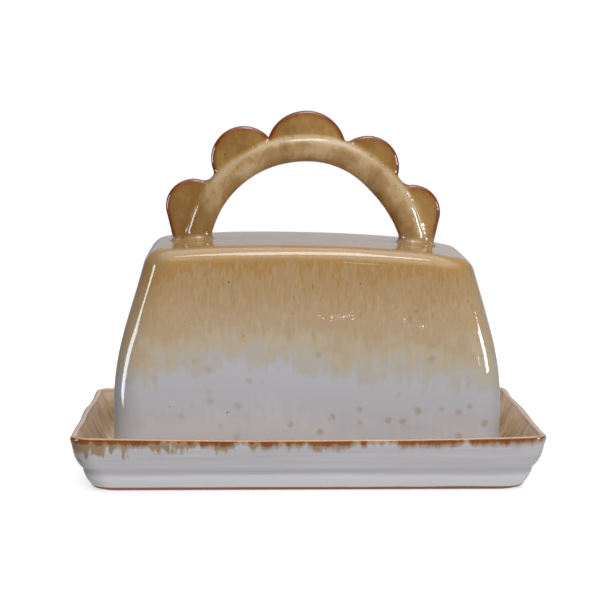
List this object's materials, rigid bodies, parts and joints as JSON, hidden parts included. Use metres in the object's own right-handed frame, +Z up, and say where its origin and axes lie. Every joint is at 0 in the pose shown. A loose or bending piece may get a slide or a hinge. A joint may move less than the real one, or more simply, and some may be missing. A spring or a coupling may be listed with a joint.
{
  "type": "butter dish",
  "caption": "Glazed stoneware butter dish: a shallow flared tray and a tall box-shaped lid that lifts off by an arched handle with a scalloped crest.",
  "frame": {"origin": "centre of the tray's flat base, on the surface the dish stands on", "axes": "+X along the dish's length, +Y across its depth away from the front face, +Z up"},
  "size_m": [0.19, 0.1356, 0.1497],
  "materials": {
    "tray_glaze": "glossy white and lilac-grey glaze with rust-brown breaks at the rim, tan inside, bare reddish clay under the base",
    "lid_glaze": "glossy reactive glaze, honey tan at the top running down into a mottled blue-white",
    "handle_glaze": "glossy cream-tan glaze with brown mottling",
    "petal_glaze": "glossy amber glaze breaking to rust brown on the edges"
  },
  "bodies": {
    "dish": {"tray": "tray_glaze"},
    "lid": {"lid_cover": "lid_glaze", "handle_arch": "handle_glaze", "handle_petal_1": "petal_glaze", "handle_petal_2": "petal_glaze", "handle_petal_3": "petal_glaze", "handle_petal_4": "petal_glaze", "handle_petal_5": "petal_glaze"}
  },
  "joints": [
    {"name": "lid_lift", "type": "slide", "parent": "dish", "child": "lid", "axis": [0, 0, 1], "range_m": [0, 0.12]}
  ]
}
